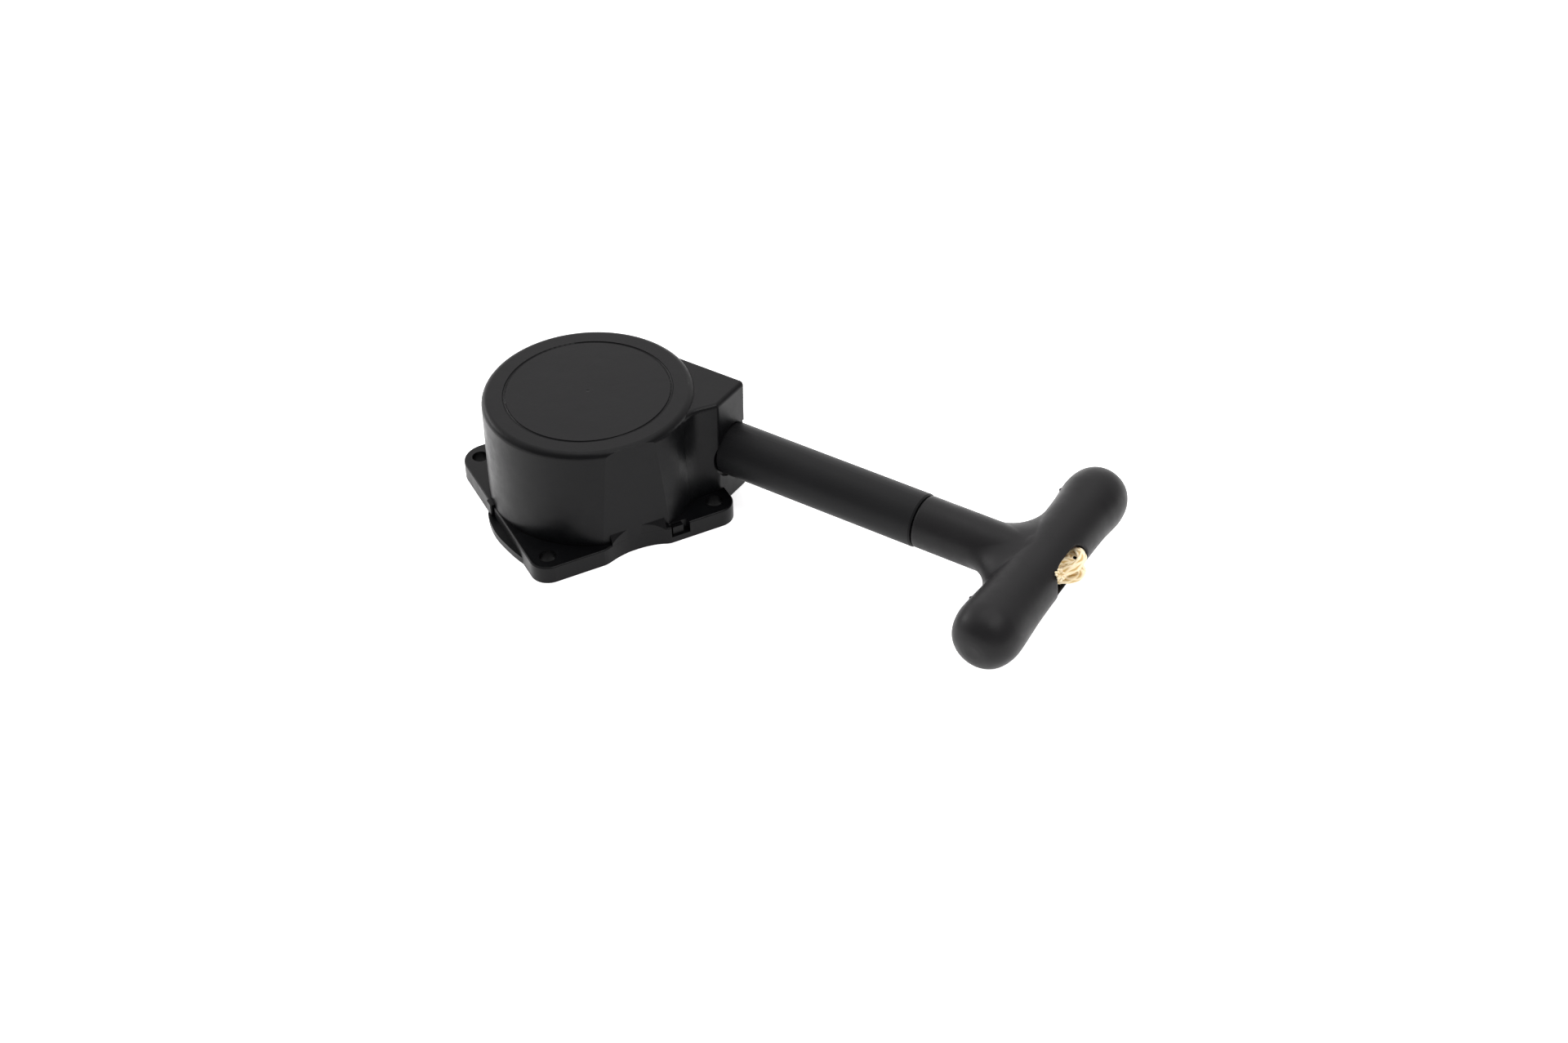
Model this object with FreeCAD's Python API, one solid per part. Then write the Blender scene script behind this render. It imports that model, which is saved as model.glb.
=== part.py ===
"""Recoil (pull) starter of a small gasoline engine: drum housing with four
mounting ears, rope outlet boss, guide tube, T-handle, and the spring, reel and
pawl works inside.

Frame, millimetres: origin on the drum axis in the flange's mounting plane,
+Z away from the engine, +X along the guide tube towards the handle.
Each sub-part is its own STEP file in parts/.
"""
import FreeCAD, Part
import math
import os
from FreeCAD import Vector as V

# ---------------------------------------------------------------- dimensions
# housing
DRUM_R_TOP = 31.0        # drum radius under the rim
DRUM_R_BASE = 31.7       # drum radius at the flange (moulding draft)
DRUM_H = 38.0            # mounting plane to drum top
RIM_R = 2.0              # rounding of the top rim
WALL_CAVITY_R = 28.2     # radius of the works cavity
CAVITY_H = 35.6          # cavity ceiling
TOP_GROOVE_R = 24.4      # ring groove in the top face
TOP_GROOVE_W = 0.8
FLANGE_T = 5.6           # ear thickness
FLANGE_HALF = 32.0       # half width of the square that the ears lie in
FLANGE_ANG = -30.0       # row angle of the flange's front side
BOLT_PCD = 75.0          # four mounting holes
BOLT_HOLE_R = 2.5
EAR_R = 5.5
EAR_R_BACK = 7.5         # larger round on the ear at 195 degrees
FACET_TOP = 30.1         # front flat, distance from the axis at the top
FACET_BASE = 29.75       # the same at the base
TAB_H = 2.2              # thin rounded tab on the side between two ears

# rope line, shared by boss, tube and handle
ROPE_Y = 22.0            # rope leaves the reel tangentially at this radius
ROPE_Z = 16.7            # mid-plane of the rope groove
ROPE_R = 1.3             # starter rope 2.6 mm

# outlet boss
BOSS_TOP = 36.9
BOSS_END_X = 35.2
TUBE_SEAT_R = 8.8        # shallow seat round the tube's root
TUBE_SEAT_X = 34.0
SPIGOT_R = 5.95
SPIGOT_X1 = 43.0

# guide tube
TUBE_R = 8.0
TUBE_BORE_R = 6.0
TUBE_X0 = 34.2
TUBE_X1 = 100.0

# T-handle
SEAM_GAP = 0.3
STEM_R = 7.75
NOSE_R = 5.55
NOSE_X0 = 92.2
BAR_X = 138.0            # axis of the cross bar
BAR_NEAR = 38.4          # reach of the cross bar on the -Y side
BAR_FAR = 40.0           # and on the +Y side
BAR_R_NEAR = 9.85       # end radius on the -Y side
BAR_R_FAR = 9.5          # end radius on the +Y side
BAR_R_WAIST = 8.8
WEB_FILLET_R = 12.5      # fillets from stem to bar
BAR_TILT = 4.0           # handle turned about the rope line at rest
POCKET_L = 17.0
POCKET_W = 10.8
POCKET_SHIFT = 2.0       # pocket centre along the bar from the rope line
KNOT_SHIFT = 2.0
POCKET_X0 = 140.4
ROPE_BORE_R = 1.9

# works
POST_R = 5.0
REEL_BORE_R = 5.05
REEL_R = 26.0
GROOVE_Z0 = 13.95
GROOVE_Z1 = 19.45
GROOVE_FLOOR_R = 15.75
REEL_Z0 = 12.2           # underside of lower reel flange
REEL_Z1 = 20.8           # top of upper reel flange
REEL_HUB_TOP = 33.2
REEL_HUB_R = 7.4
COIL_R = 1.28
CASE_R = 23.6
CASE_WALL = 0.8
CASE_TOP = 35.4
COVER_Z0 = 24.0
COVER_T = 0.8
COVER_SCREW_R = 26.0     # radius on which the three cover screws lie
SPRING_T = 0.5
SPRING_Z0 = 25.7
SPRING_Z1 = 33.3
SPRING_R0 = 9.2
SPRING_PITCH = 1.30
SPRING_HALF_TURNS = 19
PAWL_PIVOT_R = 11.0
PAWL_Z0 = 9.2
PAWL_Z1 = 11.8
PAWL_LEN = 10.0
PAWL_PEG_DIST = 5.0
PAWL_SWING = 28.0        # degrees outwards
PLATE_TURN = 20.0        # degrees of friction plate lag
PLATE_Z0 = 7.6
PLATE_Z1 = 8.8

os.makedirs("parts", exist_ok=True)
ZAX = V(0, 0, 1)
ROPE_P = V(0, ROPE_Y, ROPE_Z)


# ------------------------------------------------------------------- helpers
def polar(r, deg, z=0.0):
    a = math.radians(deg)
    return V(r * math.cos(a), r * math.sin(a), z)


def cyl(r, h, p=V(0, 0, 0), d=ZAX):
    return Part.makeCylinder(r, h, p, d)


def ring(r1, r0, z0, z1, x=0.0, y=0.0):
    return cyl(r1, z1 - z0, V(x, y, z0)).cut(cyl(r0, z1 - z0 + 2, V(x, y, z0 - 1)))


def tube_x(r1, r0, x0, x1):
    """A tube on the rope line."""
    a = cyl(r1, x1 - x0, V(x0, ROPE_Y, ROPE_Z), V(1, 0, 0))
    if r0 > 0:
        a = a.cut(cyl(r0, x1 - x0 + 2, V(x0 - 1, ROPE_Y, ROPE_Z), V(1, 0, 0)))
    return a


def poly_prism(pts, z0, z1):
    w = Part.makePolygon([V(x, y, z0) for x, y in pts] + [V(pts[0][0], pts[0][1], z0)])
    return Part.Face(w).extrude(V(0, 0, z1 - z0))


def fillet_where(shape, r, test):
    edges = [e for e in shape.Edges if test(e)]
    return shape.makeFillet(r, edges) if edges else shape


def chamfer_where(shape, d, test):
    edges = [e for e in shape.Edges if test(e)]
    return shape.makeChamfer(d, edges) if edges else shape


def turn(shape, deg, p=V(0, 0, 0), d=ZAX):
    s = shape.copy()
    s.rotate(p, d, deg)
    return s


def moved(shape, v):
    s = shape.copy()
    s.translate(v)
    return s


def clean(shape):
    try:
        s = shape.removeSplitter()
        return s if s.isValid() else shape
    except Exception:
        return shape


def save(name, shape, count=1):
    solids = shape.Solids
    assert len(solids) == count, (name, "solids", len(solids))
    assert shape.isValid(), (name, "not valid")
    assert all(s.Volume > 0 for s in solids), (name, "volume")
    out = solids[0] if count == 1 else Part.makeCompound(solids)
    out.exportStep("parts/%s.step" % name)
    bb = out.BoundBox
    print("%-20s %2d solid  %9.2f mm3  x %7.2f..%7.2f  y %7.2f..%7.2f  z %6.2f..%6.2f" % (
        name, count, sum(s.Volume for s in solids), bb.XMin, bb.XMax, bb.YMin, bb.YMax, bb.ZMin, bb.ZMax))


def revolve_rz(pts_edges):
    """Revolve a closed list of edges in the XZ plane about Z."""
    return Part.Face(Part.Wire(pts_edges)).revolve(V(0, 0, 0), ZAX, 360)


def seg(a, b):
    return Part.LineSegment(a, b).toShape()


def arc(a, m, b):
    return Part.Arc(a, m, b).toShape()


# ================================================================== housing
# drum: drafted wall, rounded rim
slope = (DRUM_R_BASE - DRUM_R_TOP) / DRUM_H
r_at = lambda z: DRUM_R_BASE - slope * z
k = RIM_R * (1 - math.cos(math.pi / 4))
za = DRUM_H - RIM_R
drum = revolve_rz([
    seg(V(0, 0, 0), V(DRUM_R_BASE, 0, 0)),
    seg(V(DRUM_R_BASE, 0, 0), V(r_at(za), 0, za)),
    arc(V(r_at(za), 0, za), V(r_at(za) - k, 0, DRUM_H - k), V(r_at(za) - RIM_R, 0, DRUM_H)),
    seg(V(r_at(za) - RIM_R, 0, DRUM_H), V(0, 0, DRUM_H)),
    seg(V(0, 0, DRUM_H), V(0, 0, 0)),
])
# front flat, slightly drafted, full height
fc = [(FACET_BASE + 0.0, 0.0), (FACET_TOP, DRUM_H)]
facet = Part.Face(Part.makePolygon([
    V(FACET_BASE, -20, -1), V(60, -20, -1), V(60, -20, DRUM_H + 1),
    V(FACET_TOP, -20, DRUM_H + 1), V(FACET_BASE, -20, -1)])).extrude(V(0, 40, 0))
facet = turn(facet, FLANGE_ANG)
drum = drum.cut(facet)


def on_facet_top(e):
    c = e.CenterOfMass
    t = turn(Part.Vertex(c), -FLANGE_ANG).Point
    return abs(c.z - DRUM_H) < 0.02 and t.x > FACET_TOP - 0.3 and abs(t.y) < 3 and e.Curve.TypeId == "Part::GeomLine"


drum = fillet_where(drum, 1.0, on_facet_top)

# outlet boss: full height block round the rope line
bot = [(8.0, 12.0), (8.0, 28.7), (34.9, 28.7), (34.9, 14.4), (32.7, 10.7)]
top = [(8.0, 12.0), (8.0, 29.1), (35.4, 29.1), (35.4, 15.0), (32.3, 10.6)]
# hollow curve that leads the near wall into the drum
bot_c = [(32.7, 10.7), (31.95, 9.0), (31.6, 7.2), (31.45, 5.2), (31.45, 3.0)]
top_c = [(32.3, 10.6), (31.35, 8.9), (30.9, 7.2), (30.75, 5.2), (30.75, 3.0)]


def boss_wire(pts, curve, z):
    e = [seg(V(p[0], p[1], z), V(q[0], q[1], z)) for p, q in zip(pts, pts[1:])]
    c = Part.BSplineCurve()
    c.interpolate([V(x, y, z) for x, y in curve])
    e.append(c.toShape())
    e.append(seg(V(curve[-1][0], curve[-1][1], z), V(20, 2, z)))
    e.append(seg(V(20, 2, z), V(pts[0][0], pts[0][1], z)))
    return Part.Wire(e)


boss = Part.makeLoft([boss_wire(bot, bot_c, 0.0), boss_wire(top, top_c, BOSS_TOP)], True, True)


def boss_vertical(e):
    c = e.CenterOfMass
    return abs(e.tangentAt(e.FirstParameter).z) > 0.9 and c.x > 34.0 and c.y > 12.0


boss = fillet_where(boss, 1.6, boss_vertical)
boss = fillet_where(boss, 1.3, lambda e: abs(e.BoundBox.ZMin - BOSS_TOP) < 0.01 and e.BoundBox.XMax > 30.0)

# mounting ears: a square plate, corners rounded about the holes
hs = FLANGE_HALF
plate = Part.makeBox(2 * hs, 2 * hs, FLANGE_T, V(-hs, -hs, 0))
upright = lambda e: abs(e.tangentAt(e.FirstParameter).z) > 0.99
back = lambda e: e.CenterOfMass.x < 0 and e.CenterOfMass.y < 0
plate = fillet_where(plate, EAR_R_BACK, lambda e: upright(e) and back(e) and abs(e.CenterOfMass.x + hs) < 1e-3 and abs(e.CenterOfMass.y + hs) < 1e-3)
plate = fillet_where(plate, EAR_R, lambda e: upright(e) and not back(e)
                     and abs(abs(e.CenterOfMass.x) - hs) < 1e-3 and abs(abs(e.CenterOfMass.y) - hs) < 1e-3)
# front side: the plate runs back to the flat between the two front ears
s_pts = [(-11.6, hs + 0.02), (-10.1, hs - 0.2), (-8.2, hs - 0.85), (-6.4, hs - 1.45), (-4.6, 30.15),
         (-2.9, 29.86), (-0.6, 29.78), (1.7, 29.86), (4.0, 30.16), (6.1, hs - 1.35), (7.6, hs - 0.8),
         (8.9, hs - 0.25), (10.0, hs + 0.02)]
dip = Part.BSplineCurve()
dip.interpolate([V(x, t, -1) for t, x in s_pts])
fa, fb = V(hs + 3, s_pts[0][0], -1), V(hs + 3, s_pts[-1][0], -1)
fw = Part.Wire([seg(fa, V(s_pts[0][1], s_pts[0][0], -1)), dip.toShape(),
                seg(V(s_pts[-1][1], s_pts[-1][0], -1), fb), seg(fb, fa)])
plate = plate.cut(Part.Face(fw).extrude(V(0, 0, FLANGE_T + 2)))
# between the ears a steep apron leads the flat down to the plate's edge
s_in = [p for p in s_pts if -8.3 < p[0] < 9.0]
ap = Part.BSplineCurve()
ap.interpolate([V(x - 0.02, t, FLANGE_T - 1) for t, x in s_in])
a0, a1 = V(29.0, s_in[0][0], FLANGE_T - 1), V(29.0, s_in[-1][0], FLANGE_T - 1)
aw = Part.Wire([seg(a0, V(s_in[0][1] - 0.02, s_in[0][0], FLANGE_T - 1)), ap.toShape(),
                seg(V(s_in[-1][1] - 0.02, s_in[-1][0], FLANGE_T - 1), a1), seg(a1, a0)])
apron = Part.Face(aw).extrude(V(0, 0, 6.0))
apron_cut = Part.Face(Part.makePolygon([
    V(29.75, -12, 8.6), V(31.6, -12, FLANGE_T - 0.4), V(36, -12, FLANGE_T - 0.4), V(36, -12, 14),
    V(29.75, -12, 14), V(29.75, -12, 8.6)])).extrude(V(0, 24, 0))
apron = turn(apron.cut(apron_cut), FLANGE_ANG)
plate = turn(plate, FLANGE_ANG)
# soften the upper outline of the ears
plate = fillet_where(plate, 0.45, lambda e: abs(e.BoundBox.ZMin - FLANGE_T) < 1e-3 and abs(e.BoundBox.ZMax - FLANGE_T) < 1e-3)

# thin rounded tab low on the side between the ears at 195 and 285 degrees,
# with a short rib at its end
tab_pts = [(-6.0, 31.0), (-4.6, 32.9), (-1.5, 33.9), (2.5, 34.5), (7.0, 34.55), (12.0, 33.9), (17.0, 32.9), (21.5, 31.5)]
tc = Part.BSplineCurve()
tc.interpolate([V(x, -y, 0) for x, y in tab_pts])
skirt = Part.Face(Part.Wire([tc.toShape(), seg(V(21.5, -31.5, 0), V(12.0, -28.5, 0)), seg(V(12.0, -28.5, 0), V(-4.0, -28.5, 0)),
                             seg(V(-4.0, -28.5, 0), V(-6.0, -31.0, 0))])).extrude(V(0, 0, TAB_H))
rib = Part.makeBox(3.2, 3.0, 6.3, V(-5.2, -32.9, 0))
rib = fillet_where(rib, 0.6, lambda e: abs(e.tangentAt(e.FirstParameter).z) > 0.9 and e.CenterOfMass.y < -32)
skirt, rib = turn(skirt, FLANGE_ANG), turn(rib, FLANGE_ANG)

body = drum.fuse([plate, boss, skirt, rib, apron])
body = clean(body)

# works cavity, with a small round at the ceiling
cav = cyl(WALL_CAVITY_R, CAVITY_H + 1, V(0, 0, -1))
cav = fillet_where(cav, 1.2, lambda e: abs(e.CenterOfMass.z - CAVITY_H) < 1e-3 and e.BoundBox.XLength > 10)
body = body.cut(cav)
# ring groove and gate mark in the top face
groove = Part.makeTorus(TOP_GROOVE_R, TOP_GROOVE_W / 2 + 0.05, V(0, 0, DRUM_H + 0.05))
body = body.cut(groove)
body = body.cut(Part.makeSphere(3.0, V(0, 0, DRUM_H + 2.93)))
# spring seat: centre boss and three screw pillars under the ceiling
body = body.fuse([cyl(7.0, 2.2, V(0, 0, CAVITY_H - 2.0)).cut(cyl(POST_R, 3, V(0, 0, CAVITY_H - 2.5)))])
pillars = []
for a in (100.0, 220.0, 340.0):
    c = polar(COVER_SCREW_R, a, COVER_Z0 + COVER_T)
    p = cyl(2.2, CAVITY_H - COVER_Z0 - COVER_T + 0.2, c)
    out = polar(WALL_CAVITY_R - 0.2, a, COVER_Z0 + COVER_T)
    web = turn(Part.makeBox(3.0, 3.0, CAVITY_H - COVER_Z0 - COVER_T + 0.2,
                            V(COVER_SCREW_R, -1.5, COVER_Z0 + COVER_T)), a)
    pillars.append(p.fuse(web))
body = body.fuse(pillars)
for a in (100.0, 220.0, 340.0):
    body = body.cut(cyl(1.05, 7.0, polar(COVER_SCREW_R, a, COVER_Z0)))
# blind socket for the centre post
body = body.cut(cyl(POST_R, 1.0, V(0, 0, CAVITY_H - 0.1)))
# rope line: seat and spigot for the tube, bore for the bush
body = body.cut(tube_x(TUBE_SEAT_R, 0, TUBE_SEAT_X, 40.0))
body = body.fuse([tube_x(SPIGOT_R, 0, 30.0, SPIGOT_X1)])
body = body.cut(tube_x(3.2, 0, 10.0, SPIGOT_X1 + 1))
# mounting holes
for i in range(4):
    body = body.cut(cyl(BOLT_HOLE_R, FLANGE_T + 2, polar(BOLT_PCD / 2, 15 + 90 * i, -1)))
# notch and small block in the right ear's front edge
notch = Part.makeBox(3.0, 5.9, 4.0, V(FLANGE_HALF - 2.0, 10.1, 2.0))
block = Part.makeBox(1.5, 3.3, 3.0, V(FLANGE_HALF - 2.3, 10.9, 1.8))
body = body.cut(turn(notch, FLANGE_ANG)).fuse([turn(block, FLANGE_ANG)])
body = clean(body)
save("starter_housing", body)

# ================================================================ rope outlet
bush = tube_x(3.2, ROPE_BORE_R, 20.0, SPIGOT_X1)
bush = bush.fuse([tube_x(5.0, ROPE_BORE_R, SPIGOT_X1, SPIGOT_X1 + 1.4)])
bush = clean(bush)
bush = fillet_where(bush, 0.6, lambda e: e.Curve.TypeId == "Part::GeomCircle"
                    and abs(e.Curve.Radius - ROPE_BORE_R) < 1e-3)
save("rope_exit_bush", bush)

tube = tube_x(TUBE_R, TUBE_BORE_R, TUBE_X0, TUBE_X1)
tube = chamfer_where(tube, 0.45, lambda e: e.Curve.TypeId == "Part::GeomCircle"
                     and abs(e.Curve.Radius - TUBE_R) < 1e-3)
save("guide_tube", tube)

# ================================================================== T-handle
# built square to the frame, then turned about the rope line
stem = tube_x(STEM_R, 0, TUBE_X1 + SEAM_GAP, BAR_X)
stem = chamfer_where(stem, 0.35, lambda e: e.Curve.TypeId == "Part::GeomCircle"
                     and abs(e.CenterOfMass.x - TUBE_X1 - SEAM_GAP) < 1e-3)
nose = tube_x(NOSE_R, 0, NOSE_X0, TUBE_X1 + SEAM_GAP + 0.5)
nose = chamfer_where(nose, 0.8, lambda e: e.Curve.TypeId == "Part::GeomCircle"
                     and abs(e.CenterOfMass.x - NOSE_X0) < 1e-3)


def bar_pt(t, r):
    return V(BAR_X + r, ROPE_Y + t, ROPE_Z)


def bar_curve(pts):
    c = Part.BSplineCurve()
    c.interpolate([bar_pt(t, r) for t, r in pts])
    return c.toShape()


ln, lf, rn, rf, rw = BAR_NEAR, BAR_FAR, BAR_R_NEAR, BAR_R_FAR, BAR_R_WAIST
bar_edges = [
    seg(bar_pt(-ln, 0), bar_pt(-ln, 2.4)),
    bar_curve([(-ln, 2.4), (-ln + 0.35, 4.3), (-ln + 1.4, 6.4), (-ln + 3.1, 8.1), (-ln + 5.4, 9.2),
               (-ln + 8.4, rn - 0.03), (-ln + 11.5, rn - 0.02), (-22, rn - 0.35), (-16, rw + 0.3), (-8, rw + 0.05),
               (0, rw), (8, rw), (16, rw), (22, rw + 0.12), (26, rf - 0.25), (lf - 10.3, rf), (lf - 6.6, 9.1),
               (lf - 3.7, 8.0), (lf - 1.7, 6.4), (lf - 0.45, 4.4), (lf, 2.4)]),
    seg(bar_pt(lf, 2.4), bar_pt(lf, 0)),
    seg(bar_pt(lf, 0), bar_pt(-ln, 0)),
]
bar = Part.Face(Part.Wire(bar_edges)).revolve(V(BAR_X, ROPE_Y, ROPE_Z), V(0, 1, 0), 360)



def web_field(x, y, z):
    """Round union of stem and bar: below zero inside. x from the bar's axis,
    y and z from the rope line. The round dies out towards the top."""
    a = math.hypot(y, z) - STEM_R + 0.07
    b = math.hypot(x, z) - BAR_R_WAIST + 0.05
    r = max(1.2, WEB_FILLET_R * (1 - (z / 8.3) ** 2))
    if a < r and b < r:
        return max(r, min(a, b)) - math.hypot(max(r - a, 0.0), max(r - b, 0.0))
    return min(a, b)


def web_section(x):
    pts = []
    n = 32
    for i in range(n):
        t = 2 * math.pi * (i + 0.5) / n
        lo, hi = 5.0, 21.0
        if web_field(x, hi * math.cos(t), hi * math.sin(t)) < 0:
            lo = hi
        for _ in range(40):
            mid = (lo + hi) / 2
            if web_field(x, mid * math.cos(t), mid * math.sin(t)) < 0:
                lo = mid
            else:
                hi = mid
        r = min(lo, 20.0)
        pts.append(V(BAR_X + x, ROPE_Y + r * math.cos(t), ROPE_Z + r * math.sin(t)))
    c = Part.BSplineCurve()
    c.interpolate(pts, True)
    return Part.Wire(c.toShape())


# web: sections that widen from the stem into the bar, then run into it
web_secs = [web_section(x) for x in (-21.0, -19.0, -17.0, -15.2, -13.6, -12.2, -11.0, -10.1, -9.5)]
web = Part.makeLoft(web_secs, True, False)
web = web.fuse([Part.Face(web_secs[-1]).extrude(V(4.5, 0, 0))])
# knot pocket in the outer face, and the rope bore
pk = Part.makeBox(14.0, POCKET_L, POCKET_W, V(POCKET_X0, ROPE_Y + POCKET_SHIFT - POCKET_L / 2, ROPE_Z - POCKET_W / 2))
pk = fillet_where(pk, POCKET_W / 2 - 0.05, lambda e: abs(e.tangentAt(e.FirstParameter).x) > 0.99)
handle = clean(stem.fuse(nose)).fuse(web).fuse(bar.cut(pk)).cut(pk)
handle = handle.cut(tube_x(ROPE_BORE_R, 0, NOSE_X0 - 1, POCKET_X0 + 1))
handle = turn(handle, BAR_TILT, ROPE_P, V(1, 0, 0))
save("pull_handle", handle)

# ====================================================================== rope
# wound turns on the reel: two full layers and one top turn that ends where
# the rope leaves the reel
turns = []
for r in (17.1, 19.7):
    for z in (ROPE_Z - ROPE_R, ROPE_Z + ROPE_R):
        turns.append(Part.makeTorus(r, COIL_R, V(0, 0, z)))
last = Part.makeTorus(ROPE_Y, COIL_R, V(0, 0, 0), ZAX, 0, 360, 265)
last = moved(turn(last, 90.3), V(0, 0, ROPE_Z))
turns.append(last)
save("rope_coil", Part.makeCompound(turns), 5)
save("rope_run", tube_x(ROPE_R, 0, 0.1, POCKET_X0))

# stopper knot: a short barrel with three wraps round it
kc = V(POCKET_X0 + 4.5, ROPE_Y + KNOT_SHIFT, ROPE_Z)
core = Part.makeCylinder(2.8, 13.0, V(0, -6.5, 0), V(0, 1, 0))
core = fillet_where(core, 1.9, lambda e: e.Curve.TypeId == "Part::GeomCircle")
wraps = [turn(Part.makeTorus(2.75, 1.45, V(0, t, 0), V(0, 1, 0)), 14.0, V(0, t, 0), V(0, 0, 1)) for t in (-3.6, 0.0, 3.6)]
kn = moved(core.fuse(wraps), kc)
kn = kn.fuse([tube_x(ROPE_R, 0, POCKET_X0, POCKET_X0 + 3.0)])
kn = turn(clean(kn), BAR_TILT, ROPE_P, V(1, 0, 0))
save("rope_knot", kn)

# ============================================================ post and screw
post = cyl(POST_R, CAVITY_H + 0.8 - (PLATE_Z1 + 0.1), V(0, 0, PLATE_Z1 + 0.1))
post = chamfer_where(post, 0.4, lambda e: abs(e.CenterOfMass.z - PLATE_Z1 - 0.1) < 1e-3 and e.BoundBox.XLength > 5)
post = post.cut(cyl(2.0, 14.0, V(0, 0, PLATE_Z1 - 1)))
save("center_post", post)

screw = cyl(2.0, 14.5, V(0, 0, 6.6))
head = cyl(4.4, 1.9, V(0, 0, 4.7))
head = fillet_where(head, 0.7, lambda e: abs(e.CenterOfMass.z - 4.7) < 1e-3)
screw = clean(screw.fuse([head]))
cross = Part.makeBox(5.0, 1.1, 1.2, V(-2.5, -0.55, 4.6)).fuse([Part.makeBox(1.1, 5.0, 1.2, V(-0.55, -2.5, 4.6))])
screw = screw.cut(cross)
save("center_screw", screw)

# dished spring washer that loads the friction plate
cone = revolve_rz([
    seg(V(2.2, 0, 6.62), V(6.4, 0, 7.04)), seg(V(6.4, 0, 7.04), V(6.4, 0, 7.54)),
    seg(V(6.4, 0, 7.54), V(2.2, 0, 7.12)), seg(V(2.2, 0, 7.12), V(2.2, 0, 6.62))])
save("spring_washer", cone)

# ============================================================== recoil spring
case = cyl(CASE_R, CASE_TOP - (COVER_Z0 + COVER_T), V(0, 0, COVER_Z0 + COVER_T))
case = fillet_where(case, 1.0, lambda e: abs(e.CenterOfMass.z - CASE_TOP) < 1e-3 and e.BoundBox.XLength > 10)
case = case.cut(cyl(CASE_R - CASE_WALL, CASE_TOP - CASE_WALL - COVER_Z0 - COVER_T + 1, V(0, 0, COVER_Z0 + COVER_T - 1)))
case = case.cut(cyl(8.0, 5.0, V(0, 0, CASE_TOP - 3)))
case = case.cut(Part.makeBox(4.0, 2.4, SPRING_Z1 + 0.4 - COVER_Z0, V(CASE_R - 2.5, -1.2, COVER_Z0)))
save("spring_case", case)

cover = cyl(CASE_R + 0.6, COVER_T, V(0, 0, COVER_Z0))
for a in (100.0, 220.0, 340.0):
    cover = cover.fuse([cyl(2.2, COVER_T, polar(COVER_SCREW_R - 0.4, a, COVER_Z0))])
cover = clean(cover)
cover = cover.cut(cyl(8.6, 3, V(0, 0, COVER_Z0 - 1)))
for a in (100.0, 220.0, 340.0):
    cover = cover.cut(cyl(1.3, 3, polar(COVER_SCREW_R, a, COVER_Z0 - 1)))
for i in range(6):
    cover = cover.cut(cyl(2.6, 3, polar(16.0, 60 * i + 30, COVER_Z0 - 1)))
save("spring_cover", cover)

screws = []
for a in (100.0, 220.0, 340.0):
    h = cyl(1.9, 1.1, polar(COVER_SCREW_R - 0.1, a, COVER_Z0 - 1.1))
    h = fillet_where(h, 0.45, lambda e: abs(e.CenterOfMass.z - COVER_Z0 + 1.1) < 1e-3)
    h = h.fuse([cyl(1.0, 6.5, polar(COVER_SCREW_R, a, COVER_Z0 - 0.2))])
    slot = turn(Part.makeBox(4.4, 0.6, 0.5, V(-2.2, -0.3, 0)), a + 40)
    slot.translate(polar(COVER_SCREW_R - 0.1, a, COVER_Z0 - 1.2))
    screws.append(clean(h.cut(slot)))
save("spring_cover_screws", Part.makeCompound(screws), 3)

# clock-type spring: half circles about two centres, hooks at both ends
p2 = SPRING_PITCH / 2
mids, outs, ins = [], [], []
for i in range(SPRING_HALF_TURNS):
    r = SPRING_R0 + p2 * i
    cx = 0.0 if i % 2 == 0 else p2
    up = 1 if i % 2 == 0 else -1
    for lst, rr in ((outs, r + SPRING_T / 2), (ins, r - SPRING_T / 2)):
        a0 = V(cx + up * rr, 0, SPRING_Z0)
        am = V(cx, up * rr, SPRING_Z0)
        a1 = V(cx - up * rr, 0, SPRING_Z0)
        lst.append((a0, am, a1))
edges = [arc(*q) for q in outs]
edges.append(seg(outs[-1][2], ins[-1][2]))
edges += [arc(q[2], q[1], q[0]) for q in reversed(ins)]
edges.append(seg(ins[0][0], outs[0][0]))
spiral = Part.Face(Part.Wire(edges)).extrude(V(0, 0, SPRING_Z1 - SPRING_Z0))
inner_hook = Part.makeBox(3.0, SPRING_T, SPRING_Z1 - SPRING_Z0, V(SPRING_R0 - 2.9, -SPRING_T, SPRING_Z0))
rend = outs[-1][2]
sgn = 1 if rend.x > 0 else -1
hx0 = min(abs(rend.x) - SPRING_T, CASE_R + 0.9)
outer_hook = Part.makeBox(CASE_R + 0.9 - hx0, SPRING_T, SPRING_Z1 - SPRING_Z0,
                          V(hx0 if sgn > 0 else -(CASE_R + 0.9), -SPRING_T if sgn > 0 else 0, SPRING_Z0))
if sgn < 0:
    # the case slot is on the +X side: bring the outer end there
    pass
spring = clean(spiral.fuse([inner_hook, outer_hook]))
if sgn < 0:
    spring = turn(spring, 180)
save("recoil_spring", spring)

# ====================================================================== reel
reel = cyl(REEL_R, REEL_Z1 - REEL_Z0, V(0, 0, REEL_Z0))
reel = fillet_where(reel, 0.5, lambda e: e.Curve.TypeId == "Part::GeomCircle")
reel = reel.cut(ring(REEL_R + 5, GROOVE_FLOOR_R, GROOVE_Z0, GROOVE_Z1))
reel = reel.fuse([cyl(REEL_HUB_R, REEL_HUB_TOP - REEL_Z1 + 0.5, V(0, 0, REEL_Z1 - 0.5)),
                  cyl(7.2, REEL_Z0 - 9.2 + 0.5, V(0, 0, 9.2))])
reel = clean(reel)
reel = reel.cut(cyl(REEL_BORE_R, 40, V(0, 0, 5)))
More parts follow.
